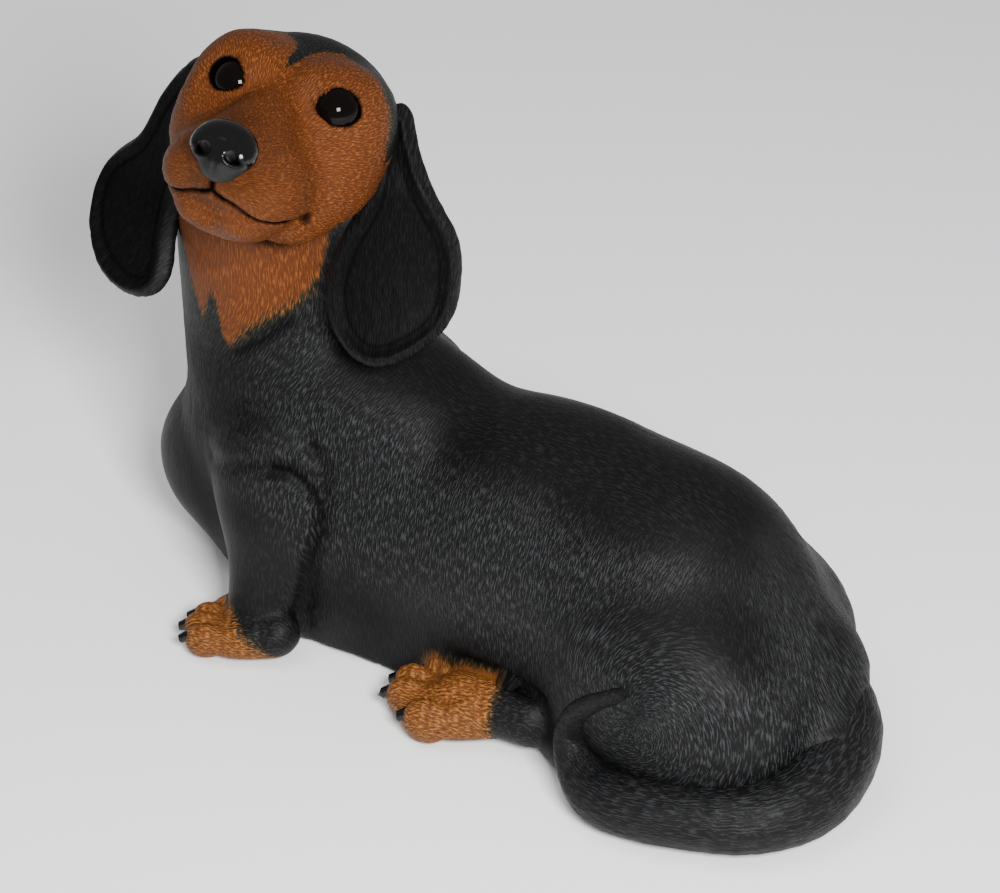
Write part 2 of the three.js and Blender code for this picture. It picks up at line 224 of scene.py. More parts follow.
# toes are (share of the width, mm set back)
FRONT = dict(width=27, height=17, scale=0.9, toes=((-0.44, 7), (-0.21, 1), (0.02, 0), (0.28, 2.5)))
HIND = dict(width=33, height=21, scale=1.05, toes=((-0.44, 8), (-0.20, 0), (0.04, 0.5), (0.34, 11)))
PAWS = {
    "left_front": dict(FRONT, heel=(-71, -54), toe=(-103, -66)),
    "right_front": dict(FRONT, heel=(-75, 46), toe=(-107, 56)),
    "left_hind": dict(HIND, heel=(34, -46), toe=(-18, -58)),
    "right_hind": dict(HIND, heel=(42, 48), toe=(-10, 61)),
}


def paw_axes(paw):
    """Heel, and rows for the forward, sideways and up axes of a paw."""
    heel = np.array([*paw["heel"], 0.0])
    ahead = np.array([*paw["toe"], 0.0]) - heel
    length = np.linalg.norm(ahead)
    ahead /= length
    side = np.cross([0, 0, 1], ahead) * -math.copysign(1, heel[1])      # towards the outer toe
    return heel, np.stack([ahead, side, [0, 0, 1]]), length


def paw_masses(paw):
    """A paw's own masses: pad, instep and four toes, in forward, sideways and up from its heel."""
    w, h, s = paw["width"], paw["height"], paw["scale"]
    length = paw_axes(paw)[2]
    masses = [
        (egg, ((length - 21 * s, 0, h * 0.32), (19 * s, w * 0.42, h * 0.42)), 0),
        (roll, ((0, 0, h * 0.55), (length - 26 * s, -0.04 * w, h * 0.56), h * 0.5, h * 0.44), 6),
    ]
    for across, back in paw["toes"]:
        tip = (length - 7 * s - back, across * w, h * 0.37)
        masses.append((roll, ((length - 30 * s, across * w * 0.6, h * 0.62), tip, w * 0.15, w * 0.15), 1.2))
        masses.append((egg, (tip, (8 * s, w * 0.16, h * 0.42)), 1.2))
    return masses


print("masses:", len(TRUNK) + len(LEGS) + len(SKULL) + 2 * len(FACE_PAIRS) + 4 * 10)

# %% [markdown]
# ## The face
# A glass eye is a ball set in from the front of the head, with lids of thin clay brought over it. In the
# clay that is a small dome over the ball and an opening cut through the dome, pointed at its inner corner.
# The mouth, the line under the nose and the folds are drawn into the clay with a tool, so they are grooves
# along a path.

# %% Lids, grooves and the head's surface
def eye_axes(name):
    """Outward, sideways (towards the outer corner) and up axes of an eye opening, on the head."""
    s = 1 if name.startswith("left") else -1
    out = np.array([0.80, 0.46 * s, 0.36])
    out /= np.linalg.norm(out)
    outer = np.cross([0, 0, 1.0], out) * s
    outer /= np.linalg.norm(outer)
    return np.stack([out, outer, np.cross(out, outer) * s])


def along_path(p, path):
    """Distance from p to a path through a few points."""
    path = np.asarray(path, float)
    return np.min([roll(p, a, b, 0, 0) for a, b in zip(path[:-1], path[1:])], axis=0)


def groove(p, d, path, depth, width):
    """A tool mark pressed into the surface along a path."""
    return d + depth * np.exp(-(along_path(p, path) / width) ** 2)


MOUTH = [(75, 0, -11.5), (73, 4, -14), (67, 11.6, -17.3), (63, 17, -18), (56, 21.5, -19),
         (48, 24, -20.8), (42, 25, -21.3), (38, 25.6, -21)]
PHILTRUM = [(77, 0, -5), (75, 0, -12)]
CHIN_FOLD = [(50, 10, -36), (36, 20, -35), (22, 27, -30)]
LIP_FOLDS = [[(50, 25, -8), (45, 26, -12), (44, 25, -17)], [(45, 25, -4), (40, 26, -10), (39, 26, -16)]]
DISH_RADIUS, DISH_AHEAD = 20.0, 6.3      # the shallow socket each eye sits in


def opening(q, name):
    """Distance to the cut of an eye opening: an egg-shaped tube with a pointed inner corner."""
    e = (q - EYES[name]) @ eye_axes(name).T
    inner = np.clip(-e[:, 1] / 7.4, 0, 1)
    half_height = (6.3 - 2.2 * inner ** 1.5) * np.where(e[:, 2] < 0, 0.86, 1.0)
    across = np.hypot(e[:, 1] / 7.1, e[:, 2] / half_height)
    return np.maximum((across - 1) * 5.5, -e[:, 0] - 1)


def folded(q):
    """Both sides of the head brought onto its left side."""
    return np.stack([q[:, 0], np.abs(q[:, 1]), q[:, 2]], axis=1)


def plain_head(q):
    """Distance to the head before the eyes are set and the creases drawn."""
    return modelled(folded(q), FACE_PAIRS, modelled(q, SKULL))


def drawn(surface, path, parts_each=6):
    """A path through a few points, laid closely onto a surface."""
    path = np.asarray(path, float)
    at = np.linspace(0, len(path) - 1, (len(path) - 1) * parts_each + 1)
    close = np.stack([np.interp(at, range(len(path)), path[:, i]) for i in range(3)], axis=1)
    return onto(surface, close, rounds=8)


MOUTH, PHILTRUM, CHIN_FOLD = (drawn(plain_head, path) for path in (MOUTH, PHILTRUM, CHIN_FOLD))
LIP_FOLDS = [drawn(plain_head, path) for path in LIP_FOLDS]


def head(p):
    """Distance to the head's surface, its creases and eye openings included."""
    q = to_head(p)
    m = folded(q)
    d = plain_head(q)
    for name, centre in EYES.items():
        dish = centre + eye_axes(name)[0] * (DISH_RADIUS + DISH_AHEAD)
        d = carve(d, lengths(q - dish) - DISH_RADIUS, 4.0)
        d = press(d, lengths(q - centre) - 9.0, 2.5)
        d = carve(d, opening(q, name), 0.6)
    d = groove(m, d, MOUTH, 2.4, 1.1)
    d = groove(m, d, PHILTRUM, 1.6, 0.9)
    d = groove(m, d, CHIN_FOLD, 1.3, 2.2)
    for fold in LIP_FOLDS:
        d = groove(m, d, fold, 0.7, 1.3)
    return d + 2.2 * np.exp(-(lengths(m - MOUTH[-1]) / 2.0) ** 2)


# %% [markdown]
# ## One skin, many parts
# The seams between a potter's parts are luted over and tooled away. So the skin is measured over the whole
# dog, with each part's own distance kept beside it to say afterwards which part a face belongs to.

# %% The whole dog's surface
# (path, depth, width, share of dark wash and painted shade) of the folds at elbow, shoulder, upper arm, hind
# paw and neck
CREASES = [
    ([(-74, -50, 77), (-67, -48, 77), (-61, -46, 72), (-57, -44, 64), (-56, -45, 56), (-58, -46, 49),
      (-61, -46, 40), (-63, -45, 32), (-66, -45, 20), (-68, -48, 10)], 4.6, 2.8, 0.85),
    ([(-108, -46, 66), (-98, -49, 69), (-87, -52, 74), (-74, -50, 77)], 1.4, 3.4, 0.4),
    ([(-62, -45, 88), (-55, -45, 80), (-53, -46, 68)], 2.4, 2.2, 0.7),
    ([(0, -43, 22), (15, -44, 24), (30, -47, 22), (43, -50, 25)], 2.2, 2.2, 0.85),
    ([(-96, -42, 110), (-86, -38, 117), (-77, -32, 124)], 1.8, 2.6, 0.7),
]
CREASE_REACH = 62.0                       # no fold reaches further than this from its middle
VENT_RADIUS, VENT_DEPTH = 11.0, 24.0
HEAD_MIDDLE, HEAD_REACH = (15, 0, -8), 92.0    # a ball round the head, and one round each paw
PAW_REACH = 62.0
HEAD_LUTE, PAW_LUTE = 9.0, 3.5            # how widely the seams are smoothed over


def trunk(p):
    slumped = p.copy()
    low = p[:, 2] < SLUMP_HEIGHT
    slump = SLUMP + (CHEST_SLUMP - SLUMP) * smooth_step(-p[low, 0], 96, 136)
    slumped[low, 2] = SLUMP_HEIGHT - (SLUMP_HEIGHT - p[low, 2]) * slump
    return modelled(p, LEGS, modelled(slumped, TRUNK))


def paw(p, name):
    heel, axes, _ = paw_axes(PAWS[name])
    return modelled((p - heel) @ axes.T, paw_masses(PAWS[name]))


def nearby(p, centre, radius, surface):
    """Measures a part only inside a ball round it; further off, the distance past the ball will do."""
    d = lengths(p - centre) - radius + 20
    close = d < 20
    if close.any():
        d[close] = surface(p[close])
    return d


def parts(p):
    """Distances to the trunk, the head and each paw."""
    found = {"body_casting": trunk(p), "head_casting": nearby(p, on_head(HEAD_MIDDLE), HEAD_REACH, head)}
    for name, shape in PAWS.items():
        middle = (*(np.add(shape["heel"], shape["toe"]) / 2), 8)
        found[name + "_paw"] = nearby(p, middle, PAW_REACH, lambda q, name=name: paw(q, name))
    return found


def luted(p, found=None):
    """Distance to the dog's skin with its parts luted together."""
    found = found or parts(p)
    d = press(found["body_casting"], found["head_casting"], HEAD_LUTE)
    for name in PAWS:
        d = press(d, found[name + "_paw"], PAW_LUTE)
    return d


CREASES = [(drawn(luted, path), *sizes) for path, *sizes in CREASES]


def whole(p, found=None):
    """The luted skin with its creases, cut flat at the table and vented underneath."""
    d = luted(p, found)
    for path, depth, width, _ in CREASES:
        close = lengths(p - path.mean(axis=0)) < CREASE_REACH
        if close.any():
            d[close] = groove(p[close], d[close], path, depth, width)
    d = -press(-d, p[:, 2], 1.0)                # flat underside
    vent = np.maximum(np.hypot(p[:, 0], p[:, 1]) - VENT_RADIUS, p[:, 2] - VENT_DEPTH)
    return carve(d, vent, 0.8)

# %% [markdown]
# ## Blocking in
# The masses are set down as plain spheres and cones, a voxel remesh welds them into one skin of even squares,
# and the points are slid onto the measured surface. A second remesh evens out what the slide stretched.

# %% Block the dog in
def block(bm, kind, sizes, place=Vector):
    """Adds one mass as a sphere, or as two spheres and a cone, with its points passed through place()."""
    if kind is egg:
        centre, half, turn = (*sizes, np.eye(3))[:3]
        for v in bmesh.ops.create_icosphere(bm, subdivisions=4, radius=1)["verts"]:
            v.co = place(np.array(v.co) * half @ np.transpose(turn) + centre)
        return
    a, b, ra, rb = sizes
    for end, radius in ((a, ra), (b, rb)):
        for v in bmesh.ops.create_icosphere(bm, subdivisions=3, radius=radius)["verts"]:
            v.co = place(np.array(v.co) + end)
    run = Vector(b) - Vector(a)
    middle = Matrix.Translation((Vector(a) + Vector(b)) / 2)
    middle @= run.to_track_quat("Z", "Y").to_matrix().to_4x4()
    for v in bmesh.ops.create_cone(bm, cap_ends=True, cap_tris=True, segments=32, radius1=ra * 0.99,
                                   radius2=rb * 0.99, depth=run.length, matrix=middle)["verts"]:
        v.co = place(np.array(v.co))


def ball(name, centre, radius, subdivisions):
    """A new object: one sphere of even triangles."""
    bm = bmesh.new()
    for v in bmesh.ops.create_icosphere(bm, subdivisions=subdivisions, radius=radius)["verts"]:
        v.co += Vector(centre)
    return new_object(name, bm)


def let_down(p):
    """Undoes the slump, so that a blocked sphere drops its sides to the table."""
    z = p[2]
    if z < SLUMP_HEIGHT:
        z = max(SLUMP_HEIGHT - (SLUMP_HEIGHT - z) / SLUMP, -3.0)
    return Vector((p[0], p[1], z))


def mesh_points(mesh):
    flat = np.empty(len(mesh.vertices) * 3, np.float32)
    mesh.vertices.foreach_get("co", flat)
    return flat.reshape(-1, 3).astype(float)


def set_points(mesh, p):
    mesh.vertices.foreach_set("co", np.asarray(p, np.float32).ravel())
    mesh.update()


def new_object(name, bm):
    mesh = bpy.data.meshes.new(name)
    bm.to_mesh(mesh)
    bm.free()
    piece = bpy.data.objects.new(name, mesh)
    bpy.context.scene.collection.objects.link(piece)
    return piece


def settle(piece, kind, **settings):
    """Adds one modifier and makes its result the piece's mesh."""
    modifier = piece.modifiers.new("settle", kind)
    for key, value in settings.items():
        setattr(modifier, key, value)
    bpy.context.view_layer.update()
    shaped = bpy.data.meshes.new_from_object(piece.evaluated_get(bpy.context.evaluated_depsgraph_get()))
    piece.modifiers.clear()
    worn, piece.data = piece.data, shaped
    bpy.data.meshes.remove(worn)
    shaped.name = piece.name
    return piece


def weld(piece, surface, voxel, **slide):
    """Remeshes a piece into even squares and slides its points onto a surface."""
    settle(piece, "REMESH", mode="VOXEL", voxel_size=voxel)
    set_points(piece.data, onto(surface, mesh_points(piece.data), **slide))


def refine(piece, surface, level, rounds):
    """Divides a piece's squares and gives back its points, slid onto a surface."""
    settle(piece, "SUBSURF", levels=level, render_levels=level)
    return onto(surface, mesh_points(piece.data), rounds=rounds)


COARSE = 2.6                     # voxel of the block, mm
bm = bmesh.new()
for kind, sizes, _ in TRUNK:
    block(bm, kind, sizes, let_down)
for kind, sizes, _ in LEGS:
    block(bm, kind, sizes)
for kind, sizes, _ in SKULL:
    block(bm, kind, sizes, on_head)
for kind, (centre, half), _ in FACE_PAIRS:
    for s in (1, -1):
        block(bm, kind, ((centre[0], s * centre[1], centre[2]), half), on_head)
for shape in PAWS.values():
    heel, axes, _ = paw_axes(shape)
    for kind, sizes, _ in paw_masses(shape):
        block(bm, kind, sizes, lambda p, heel=heel, axes=axes: heel + p @ axes)
dog = new_object("blocked_dog", bm)
weld(dog, whole, COARSE, rounds=5, reach=6)
weld(dog, whole, COARSE)
print("blocked dog:", len(dog.data.vertices), "points")

# %% [markdown]
# ## Which way the coat lies
# Combed strokes follow the hair: up the flank, along the back, round the haunch, away from the nose on the
# face, along each paw. Every point of the skin gets up to three pairs of numbers, in millimetres across and
# along the strokes, with weights for the second and third. The finish draws its strokes in those numbers.

# %% Coat directions
CHEST_AXIS_X, CHEST_ROUND, NECK_ROUND, RUMP_AXIS_X, RUMP_ROUND = -110.0, 42.0, 36.0, 88.0, 44.0
NECK_AXIS = (-104.0, -5.0)
HEAD_FROM = 130.0                    # above this height the second coat is the head's, below it the back's
HAUNCH = np.array([88.0, -60.0, 46.0])


def slopes(surface, p, step=0.4):
    """Unit outward directions of a surface."""
    offsets = np.array([(1, 1, 1), (1, -1, -1), (-1, 1, -1), (-1, -1, 1)]) * step
    n = sum(surface(p + o)[:, None] * o for o in offsets)
    return n / np.maximum(lengths(n), 1e-9)[:, None]


def trunk_coat(p, n):
    """(across, along) pairs for flank and neck, for the back, and for the haunches, with weights."""
    turn = np.arctan2(np.abs(p[:, 1]), -(p[:, 0] - CHEST_AXIS_X))
    flank = np.where(p[:, 0] < CHEST_AXIS_X, CHEST_ROUND * turn,
                     CHEST_ROUND * math.pi / 2 + np.minimum(p[:, 0], RUMP_AXIS_X) - CHEST_AXIS_X)
    flank += RUMP_ROUND * np.arctan2(np.maximum(p[:, 0] - RUMP_AXIS_X, 0), np.abs(p[:, 1]) + 0.01)
    neck = NECK_ROUND * np.arctan2(np.abs(p[:, 1] - NECK_AXIS[1]), -(p[:, 0] - NECK_AXIS[0]))
    up = smooth_step(p[:, 2], 95, 135)
    side = np.stack([flank * (1 - up) + neck * up, p[:, 2] - 0.8 * np.abs(p[:, 1]) + 0.22 * p[:, 0]], axis=1)
    back = np.stack([p[:, 1], p[:, 0]], axis=1)
    w_back = smooth_step(n[:, 2], 0.72, 0.96) * (1 - smooth_step(p[:, 2], 100, 125))
    hx, hz = p[:, 0] - HAUNCH[0], p[:, 2] - HAUNCH[2]
    swirl = np.arctan2(hz + 0.01, hx)
    round_haunch = np.stack([np.hypot(hx, hz) + 9 * swirl, 26 * swirl], axis=1)
    w_haunch = 1 - smooth_step(np.hypot(hx, hz + 6) + 0.8 * (60 - np.abs(p[:, 1])), 38, 58)
    return side, back, round_haunch, w_back, np.where(n[:, 2] > 0.9, 0, w_haunch)


def head_coat(p):
    q = to_head(p)
    across = 27 * np.arctan2(np.abs(q[:, 1]), q[:, 2] + 6)
    along = lengths(q - NOSE)
    return np.stack([across, along], axis=1)


def skin_coat(p, n, found):
    side, back, haunch, w_back, w_haunch = trunk_coat(p, n)
    w_head = smooth_step(found["body_casting"] - found["head_casting"], -4, 8)
    second = np.where((p[:, 2] > HEAD_FROM)[:, None], head_coat(p), back)
    w_second = np.where(p[:, 2] > HEAD_FROM, w_head, w_back)
    third, w_third = haunch, w_haunch
    for name in PAWS:
        heel, axes, _ = paw_axes(PAWS[name])
        q = (p - heel) @ axes.T
        near = smooth_step(found["body_casting"] - found[name + "_paw"], -2, 4)
        wrap = np.stack([11 * np.arctan2(q[:, 1], q[:, 2] + 2), q[:, 0]], axis=1)
        third = np.where((near > 0)[:, None], wrap, third)
        w_third = np.maximum(near, w_third)
    return side, second, third, w_second, w_third


# %% [markdown]
# ## Combed relief
# The widest strokes are real ridges in the clay. They come from noise that is long along the hair and short
# across it, pushed out from the surface by a fraction of a millimetre; the fine strokes stay in the finish.

# %% Stroke noise and relief
def comb_strength(p, share_back):
    """How boldly each place was combed: fully on flank and haunch, faintly on back, legs and low down."""
    low = 1 - smooth_step(p[:, 2] + 0.12 * p[:, 0], 22, 48)
    leg = 1 - smooth_step(np.hypot((p[:, 0] + 85) / 30, (p[:, 2] - 30) / 38), 0.7, 1.1)
    chest = 0.45 * smooth_step(-p[:, 0], 60, 110)
    # the same share sets how much grey shows on the stroke ridges, so the top of the back, the chest, the
    # legs and the low flanks come out darker
    return (1 - 0.75 * share_back) * (1 - 0.75 * np.maximum(low, leg)) * (1 - chest)


def stroke_noise(flow, across_mm, along_mm, seed):
    """Smooth noise from -1 to 1 in cells of across_mm by along_mm."""
    u, v = flow[:, 0] / across_mm, flow[:, 1] / along_mm
    u = u + 0.3 * np.sin(v * 1.7 + seed)
    iu, iv = np.floor(u), np.floor(v)
    fu, fv = smooth_step(u - iu, 0, 1), smooth_step(v - iv, 0, 1)

    def corner(a, b):
        x = np.sin(a * 127.1 + b * 311.7 + seed * 74.7) * 43758.5453
        return (x - np.floor(x)) * 2 - 1

    low = corner(iu, iv) * (1 - fu) + corner(iu + 1, iv) * fu
    high = corner(iu, iv + 1) * (1 - fu) + corner(iu + 1, iv + 1) * fu
    return low * (1 - fv) + high * fv


def relief(coat, across_mm, along_mm):
    """Ridges from -1 to 1 in a coat's three directions, mixed by their weights."""
    first, second, third, w2, w3 = coat
    h = stroke_noise(first, across_mm, along_mm, 1)
    h = h * (1 - w2) + stroke_noise(second, across_mm, along_mm, 2) * w2
    return h * (1 - w3) + stroke_noise(third, across_mm, along_mm, 3) * w3


def combed(coat, wide=0.16, broad=0.12, wide_size=(1.5, 7), broad_size=(3.2, 14)):
    """How far the ridges of two sizes of stroke stand out, in millimetres."""
    return wide * relief(coat, *wide_size) + broad * relief(coat, *broad_size)


def keep_numbers(mesh, name, values):
    """Stores one number or one vector for each point of a mesh, for the finish to read."""
    kind = "FLOAT_VECTOR" if values.ndim == 2 else "FLOAT"
    values = np.pad(values, ((0, 0), (0, 3 - values.shape[1]))) if values.ndim == 2 else values
    layer = mesh.attributes.new(name, kind, "POINT")
    layer.data.foreach_set("vector" if values.ndim == 2 else "value", values.astype(np.float32).ravel())


def shade_smooth(mesh):
    mesh.polygons.foreach_set("use_smooth", [True] * len(mesh.polygons))


def comb_skin(piece, p, n, lift, coat, **numbers):
    """Lifts the ridges out of a piece's points, and keeps its coat and other numbers on them."""
    set_points(piece.data, p + n * lift[:, None])
    shade_smooth(piece.data)
    numbers.update(zip(("coat_1", "coat_2", "coat_3", "coat_2_share", "coat_3_share"), coat))
    for name, values in numbers.items():
        keep_numbers(piece.data, name, values)


# %% [markdown]
# ## Where the colours meet
# The black-and-tan pattern is painted by hand: a black cap with a peak between the brows, tan face and
# throat, tan paws with black ankles. Each point keeps its distance in millimetres inside the tan, so that
# the brush edge can be feathered along the hair. Dark paint lines for eye rims and mouth, dark wash and
# painted shade in the folds, and painted shade under the jaw, on the breast and along the belly, are kept
# beside it.

# %% Colour boundaries
# (degrees round the face from the top, degrees back from the nose line)
CAP_EDGE = ((0, 45), (3, 52), (5, 72), (12, 88), (24, 100), (34, 92), (44, 84), (54, 77), (68, 75), (80, 72),
            (96, 72), (112, 80), (140, 95), (180, 105))
# (degrees round the neck from its near side, height of the tan's lower edge)
THROAT_EDGE = ((-75, 230), (-55, 190), (-36, 160), (-24, 138), (-16, 124), (-10, 121), (-5, 133), (0, 128),
               (3, 117), (8, 113), (19, 121), (34, 127), (44, 130), (55, 134), (65, 140), (74, 152),
               (90, 175), (130, 230))
CAP_SLOPE, THROAT_SLOPE = 0.55, 0.7       # millimetres inside the tan for each degree and each millimetre
THROAT_TOP, THROAT_FAR_SIDE = 190.0, -8.0
FULLY_BLACK = -20.0


def tan_inside(p, found):
    """Millimetres inside the tan areas, negative in the black."""
    q = to_head(p)
    round_face = np.degrees(np.arctan2(np.abs(q[:, 1] + 2), q[:, 2]))
    back = np.degrees(np.arctan2(np.hypot(q[:, 1], q[:, 2]), q[:, 0]))
    degrees, limits = np.array(CAP_EDGE, float).T
    face = (np.interp(round_face, degrees, limits) - back) * CAP_SLOPE
    face = np.where(found["head_casting"] < 6, face, FULLY_BLACK)
    degrees, limits = np.array(THROAT_EDGE, float).T
    round_neck = np.degrees(np.arctan2(p[:, 0] - NECK_AXIS[0], -(p[:, 1] - NECK_AXIS[1])))
    throat = (p[:, 2] - np.interp(round_neck, degrees, limits)) * THROAT_SLOPE
    throat = np.minimum(throat, THROAT_FAR_SIDE - p[:, 1])
    throat = np.where(p[:, 2] < THROAT_TOP, throat, FULLY_BLACK)
    tan = np.maximum(face, throat)
    for name, shape in PAWS.items():
        heel, axes, length = paw_axes(shape)
        ahead = (p - heel) @ axes[0] - (12 if "hind" in name else -6)
        if "front" in name:                      # the black of the leg comes down over the heel
            ahead = np.minimum(ahead, (1 + 0.76 * (ahead - 3) - p[:, 2]) * 0.8)
        near = np.minimum(ahead, 2.5 - found[name + "_paw"])
        near = np.minimum(near, shape["height"] + 3 - p[:, 2])
        tan = np.maximum(tan, near)
    return np.clip(tan, FULLY_BLACK, -FULLY_BLACK)


def tan_free(p):
    """Away from the paws, where the black can take painted shade."""
    return np.min([paw(p, name) for name in PAWS], axis=0) > 1.5


def liner(p):
    """How dark each point is painted: 1 for the paint lines of mouth and eye rims, less for dark wash and
    painted shade in folds, and painted shade under the jaw, on breast and belly.
    """
    q = to_head(p)
    m = folded(q)
    depth = plain_head(q)

    def beside(path):
        return np.sqrt(np.maximum(along_path(m, path) ** 2 - depth ** 2, 0))

    dark = np.exp(-(beside(MOUTH) / 1.25) ** 4)         # the brush is about as wide as each line
    dark = np.maximum(dark, np.exp(-(beside(PHILTRUM) / 1.2) ** 4))
    corner = lengths(m - MOUTH[-1])
    corner = np.sqrt(np.maximum(corner ** 2 - depth ** 2, 0))
    dark = np.maximum(dark, np.exp(-(corner / 2.4) ** 4))
    for name in EYES:
        rim = opening(q, name)
        dark = np.maximum(dark, np.exp(-(np.maximum(rim, 0) / 0.55) ** 4) * (depth < 9))
    # dark wash and painted shade along each fold
    for path, _, width, ink_and_shade in CREASES:
        close = lengths(p - path.mean(axis=0)) < CREASE_REACH
        if close.any():
            aside = np.sqrt(np.maximum(along_path(p[close], path) ** 2 - luted(p[close]) ** 2, 0))
            dark[close] = np.maximum(dark[close], ink_and_shade * np.exp(-(aside / (width * 0.8)) ** 2))
    # painted shade under the jaw, where the head meets the throat
    neck = trunk(p)
    jaw = nearby(p, on_head(HEAD_MIDDLE), HEAD_REACH, lambda p: plain_head(to_head(p)))
    under_jaw_shade = 0.8 * np.exp(-((jaw - neck - 2.5) / 3.0) ** 2) * (p[:, 1] < -12) * (p[:, 2] < 185)
    dark = np.maximum(dark, under_jaw_shade)
    # painted shade on the breast and low along the belly
    breast = 0.5 * smooth_step(-p[:, 0], 72, 108) * (1 - smooth_step(p[:, 2], 100, 118))
    belly = 0.35 * (1 - smooth_step(p[:, 2], 22, 44)) * smooth_step(62 - np.abs(p[:, 0] - 2), 0, 20)
    dark = np.maximum(dark, np.where(tan_free(p), np.maximum(breast, belly), 0))
    bridge = 0.4 * np.exp(-(lengths((m - (61, 0, 9)) / (9, 8, 6))) ** 2)
    return np.maximum(dark, bridge)


# %% Cut the skin into its parts and refine each
def only_faces(source, name, wanted):
    bm = bmesh.new()
    bm.from_mesh(source)
    bm.faces.ensure_lookup_table()
    spare = [f for f, keep in zip(bm.faces, wanted) if not keep]
    bmesh.ops.delete(bm, geom=spare, context="FACES")
    return new_object(name, bm)


def close_seams(piece):
    """Caps the open seams of a part inside the dog, with sharp edges so that the skin's shading runs on."""
    bm = bmesh.new()
    bm.from_mesh(piece.data)
    seam = [e for e in bm.edges if e.is_boundary]
    for e in seam:
        e.smooth = False
    bmesh.ops.holes_fill(bm, edges=seam, sides=0)
    bm.to_mesh(piece.data)
    bm.free()


def to_frame(piece):
    """Turns a finished piece's points from the potter's millimetres to the frame's metres."""
    set_points(piece.data, (mesh_points(piece.data) + SHIFT) / 1000)


points = mesh_points(dog.data)
corners = np.empty(len(dog.data.loops), np.int32)
dog.data.polygons.foreach_get("vertices", corners)
centres = points[corners.reshape(-1, 4)].mean(axis=1)
distances = parts(centres)
names = list(distances)
owner = np.argmin([distances[n] for n in names], axis=0)
skins = {}
for i, name in enumerate(names):
    level = 1 if name == "body_casting" else 2
    piece = only_faces(dog.data, name + "_skin", owner == i)
    p = refine(piece, whole, level, 3)
    found = parts(p)
    n = slopes(whole, p)
    coat = skin_coat(p, n, found)
    tan, ink_and_shade = tan_inside(p, found), liner(p)
    if name == "body_casting":
        comb = comb_strength(p, smooth_step(n[:, 2], 0.45, 0.85) * (p[:, 2] < HEAD_FROM))
    else:
        comb = 0.4 + 0.6 * smooth_step(tan, -2, 1)
    calm = 1 - smooth_step(ink_and_shade, 0.6, 0.9)             # no ridges in the drawn lines or at the table
    lift = combed(coat) * comb * calm * smooth_step(p[:, 2], 0.5, 3)
    comb_skin(piece, p, n, lift, coat, comb=comb, tan_inside=tan, liner=ink_and_shade)
    close_seams(piece)
    skins[name] = piece
    print(piece.name, len(piece.data.vertices), "points")
bpy.data.objects.remove(dog)

# %% [markdown]
# ## Ears
# Each ear is a leaf rolled out of clay, cupped a little, thicker at its rolled front rim and hung from a root
# at the side of the skull. It starts as a flattened ball, welded and slid onto the leaf's own surface.

# %% Shape the ears
EARS = {             # each outline is (down, forward) in millimetres from the root of the ear
    "left_ear": dict(
        top=(-48, -6, 197), lobe=(-44, -17, 140), facing=(0.45, -0.88, 0.1), forward=1, hang=-0.0025,
        cup=0.008, sunk=9,
        outline=[(-8, 2), (-5, 7), (2, 10), (12, 10.5), (24, 12.5), (40, 20), (54, 23.5), (67, 21.5),
                 (76, 15), (80, 6), (78, -4), (71, -15), (63, -21), (52, -23), (37, -21.5), (22, -14),
                 (10, -7.5), (1, -4), (-5, -2)]),
    "right_ear": dict(
        top=(-117, -22, 203), lobe=(-143, -34, 139), facing=(-0.3, -0.95, 0.1), forward=-1, hang=0.002,
        cup=0.004, sunk=2,
        outline=[(-14, 0), (-5, -9), (6, -15), (20, -19), (33, -20), (41, -22), (50, -27), (59, -30),
                 (67, -28), (75, -22), (81, -12), (84, -2), (84, 9), (81, 18), (75, 23), (67, 22), (57, 16),
                 (46, 11), (30, 8), (12, 8), (-6, 7), (-12, 4)]),
}
EAR_HALF = 3.2
LEAF_CENTRE = (46.0, 0.0)
# painted shade: a dark line inside the rolled rim, where it steps down to the thinner middle
RIM_SHADE_INSET, RIM_SHADE_HALF = 7.0, 1.8        # a dark line runs inside the rolled rim


def smooth_run(points, each=4, closed=False):
    """A smooth run through a few points, as a Catmull-Rom curve."""
    pts = np.asarray(points, float)
    ends = np.vstack([pts[-1:], pts, pts[:2]]) if closed else np.vstack(
        [2 * pts[0] - pts[1], pts, 2 * pts[-1] - pts[-2]])
    run = []
    for p0, p1, p2, p3 in zip(ends[:-3], ends[1:-2], ends[2:-1], ends[3:]):
        for t in np.linspace(0, 1, each, endpoint=False):
            run.append(0.5 * (2 * p1 + (p2 - p0) * t + (2 * p0 - 5 * p1 + 4 * p2 - p3) * t ** 2
                              + (3 * p1 - p0 - 3 * p2 + p3) * t ** 3))
    return np.array(run if closed else run + [pts[-1]])


def ear_axes(ear):
    """Root, and rows for the downward, forward and outward axes of an ear, with its length."""
    top = np.array(ear["top"], float)
    down = np.array(ear["lobe"]) - top
    length = np.linalg.norm(down)
    down /= length
    out = np.array(ear["facing"]) - down * (down @ ear["facing"])
    out /= np.linalg.norm(out)
    return top, np.stack([down, np.cross(down, out) * ear["forward"], out]), length


def ear_sweep(a, b, length, ear):
    """How far the middle of the leaf stands out: cupped across, and sunk into the skull at its root."""
    bend = a - length / 2
    sunk = ear["sunk"] * (1 - smooth_step(a, -8, 22))
    return -ear["cup"] * b * b + np.where(bend > 0, 0.004, ear["hang"]) * bend ** 2 - sunk


def within(a, b, outline):
    """Distance to a leaf's outline, negative inside."""
    p = np.stack([a, b], axis=1)
    nearest = np.full(len(p), 1e9)
    inside = np.zeros(len(p), bool)
    for start, end in zip(outline, np.roll(outline, -1, axis=0)):
        run = end - start
        h = np.clip((p - start) @ run / (run @ run), 0, 1)
        nearest = np.minimum(nearest, ((p - start - h[:, None] * run) ** 2).sum(axis=1))
        crosses = (start[1] > b) != (end[1] > b)
        if abs(run[1]) > 1e-9:
            inside ^= crosses & (a < run[0] * (b - start[1]) / run[1] + start[0])
    return np.where(inside, -1, 1) * np.sqrt(nearest)


